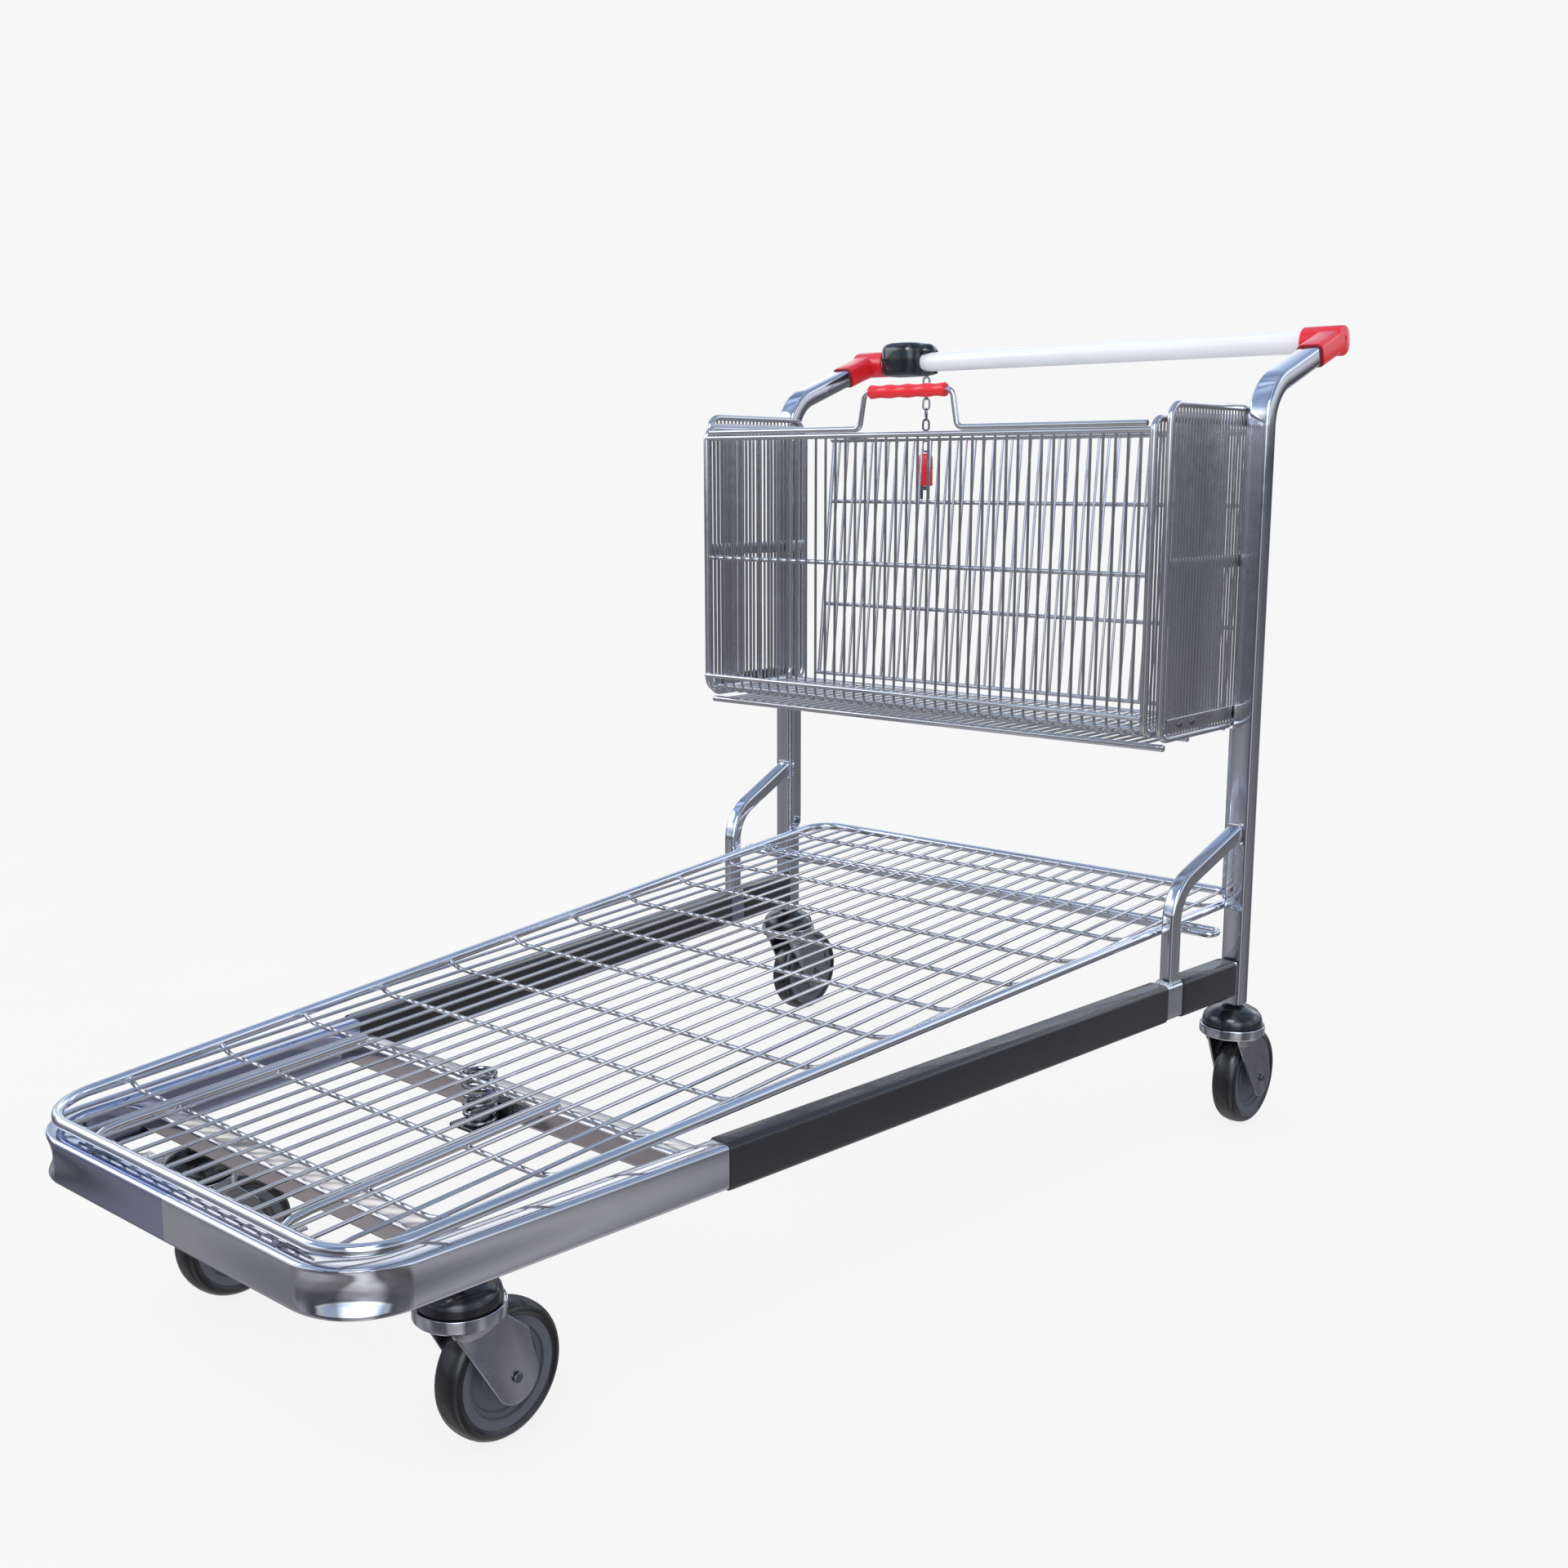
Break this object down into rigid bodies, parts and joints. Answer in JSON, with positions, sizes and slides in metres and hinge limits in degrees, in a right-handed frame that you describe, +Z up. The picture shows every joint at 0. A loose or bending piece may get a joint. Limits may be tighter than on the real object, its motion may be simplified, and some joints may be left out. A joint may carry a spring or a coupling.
{
  "type": "luggage trolley",
  "caption": "Flatbed luggage trolley: sprung sloping wire deck on a bent tube frame, swivel castors, wire basket between two uprights, push handle with a coin lock",
  "frame": {"origin": "on the floor, under the middle of the outer box", "axes": "+Y from the nose to the handle, +X to the left of the person who pushes, +Z up"},
  "size_m": [0.821, 1.4795, 1.024],
  "materials": {
    "chrome": "polished chrome plate",
    "steel": "dull zinc plated steel",
    "dark_steel": "dark oiled steel",
    "black_plastic": "satin",
    "red_plastic": "gloss",
    "white_coat": "gloss white coating",
    "grey_plastic": "satin",
    "rubber": "satin black rubber"
  },
  "bodies": {
    "frame": {"base_frame": "chrome", "cross_member_front": "chrome", "cross_member_rear": "chrome", "sleeve_front_left": "black_plastic", "sleeve_rear_left": "black_plastic", "brace_left": "chrome", "upright_left": "chrome", "upright_strip_left": "chrome", "hinge_lug_left": "chrome", "basket_side_left": "chrome", "basket_plate_left": "steel", "handle_connector_left": "red_plastic", "connector_screw_left": "dark_steel", "sleeve_front_right": "black_plastic", "sleeve_rear_right": "black_plastic", "brace_right": "chrome", "upright_right": "chrome", "upright_strip_right": "chrome", "hinge_lug_right": "chrome", "basket_side_right": "chrome", "basket_plate_right": "steel", "handle_connector_right": "red_plastic", "connector_screw_right": "dark_steel", "handle_tube": "white_coat", "coin_lock": "black_plastic", "deck_spring": "dark_steel", "spring_seat": "dark_steel", "basket_floor": "chrome", "castor_dome_front_left": "black_plastic", "castor_dome_front_right": "black_plastic", "castor_dome_rear_left": "black_plastic", "castor_dome_rear_right": "black_plastic"},
    "deck": {"deck_grid": "chrome", "deck_support_loop": "chrome"},
    "basket_flap": {"basket_flap": "chrome"},
    "basket_cage": {"basket_cage": "chrome", "grip_wire": "chrome", "basket_grip": "red_plastic"},
    "lock_chain": {"lock_chain": "dark_steel"},
    "lock_key": {"key_tag": "red_plastic", "lock_key": "dark_steel"},
    "castor_front_left": {"castor_fork_front_left": "steel", "castor_axle_front_left": "steel"},
    "wheel_front_left": {"castor_wheel_front_left": "grey_plastic", "castor_tyre_front_left": "rubber"},
    "castor_front_right": {"castor_fork_front_right": "steel", "castor_axle_front_right": "steel"},
    "wheel_front_right": {"castor_wheel_front_right": "grey_plastic", "castor_tyre_front_right": "rubber"},
    "castor_rear_left": {"castor_fork_rear_left": "steel", "castor_axle_rear_left": "steel"},
    "wheel_rear_left": {"castor_wheel_rear_left": "grey_plastic", "castor_tyre_rear_left": "rubber"},
    "castor_rear_right": {"castor_fork_rear_right": "steel", "castor_axle_rear_right": "steel"},
    "wheel_rear_right": {"castor_wheel_rear_right": "grey_plastic", "castor_tyre_rear_right": "rubber"}
  },
  "joints": [
    {"name": "castor_swivel_front_left", "type": "hinge", "parent": "frame", "child": "castor_front_left", "pos_m": [0.206, -0.59025, 0.134], "axis": [0, 0, 1], "continuous": true},
    {"name": "wheel_spin_front_left", "type": "hinge", "parent": "castor_front_left", "child": "wheel_front_left", "pos_m": [0.206, -0.55125, 0.0625], "axis": [1, 0, 0], "continuous": true},
    {"name": "castor_swivel_front_right", "type": "hinge", "parent": "frame", "child": "castor_front_right", "pos_m": [-0.206, -0.59025, 0.134], "axis": [0, 0, 1], "continuous": true},
    {"name": "wheel_spin_front_right", "type": "hinge", "parent": "castor_front_right", "child": "wheel_front_right", "pos_m": [-0.206, -0.55125, 0.0625], "axis": [1, 0, 0], "continuous": true},
    {"name": "castor_swivel_rear_left", "type": "hinge", "parent": "frame", "child": "castor_rear_left", "pos_m": [0.37, 0.52075, 0.134], "axis": [0, 0, 1], "continuous": true},
    {"name": "wheel_spin_rear_left", "type": "hinge", "parent": "castor_rear_left", "child": "wheel_rear_left", "pos_m": [0.37, 0.55975, 0.0625], "axis": [1, 0, 0], "continuous": true},
    {"name": "castor_swivel_rear_right", "type": "hinge", "parent": "frame", "child": "castor_rear_right", "pos_m": [-0.37, 0.52075, 0.134], "axis": [0, 0, 1], "continuous": true},
    {"name": "wheel_spin_rear_right", "type": "hinge", "parent": "castor_rear_right", "child": "wheel_rear_right", "pos_m": [-0.37, 0.55975, 0.0625], "axis": [1, 0, 0], "continuous": true},
    {"name": "deck_hinge", "type": "hinge", "parent": "frame", "child": "deck", "pos_m": [0, -0.72565, 0.236], "axis": [1, 0, 0], "range_deg": [-2, 0], "stiffness_Nm_per_rad": 400, "springref_deg": 14.32, "deforming": ["deck_spring"]},
    {"name": "basket_flap_hinge", "type": "hinge", "parent": "frame", "child": "basket_flap", "pos_m": [0, 0.57475, 0.878], "axis": [-1, 0, 0], "range_deg": [0, 18]},
    {"name": "basket_cage_slide", "type": "slide", "parent": "frame", "child": "basket_cage", "axis": [0, -1, 0], "range_m": [0, 0.15]},
    {"name": "chain_swing", "type": "hinge", "parent": "frame", "child": "lock_chain", "pos_m": [-0.2627, 0.71775, 0.9737], "axis": [1, 0, 0], "range_deg": [-25, 45]},
    {"name": "key_swing", "type": "hinge", "parent": "lock_chain", "child": "lock_key", "pos_m": [-0.2627, 0.71775, 0.8605], "axis": [1, 0, 0], "range_deg": [-30, 30]}
  ]
}
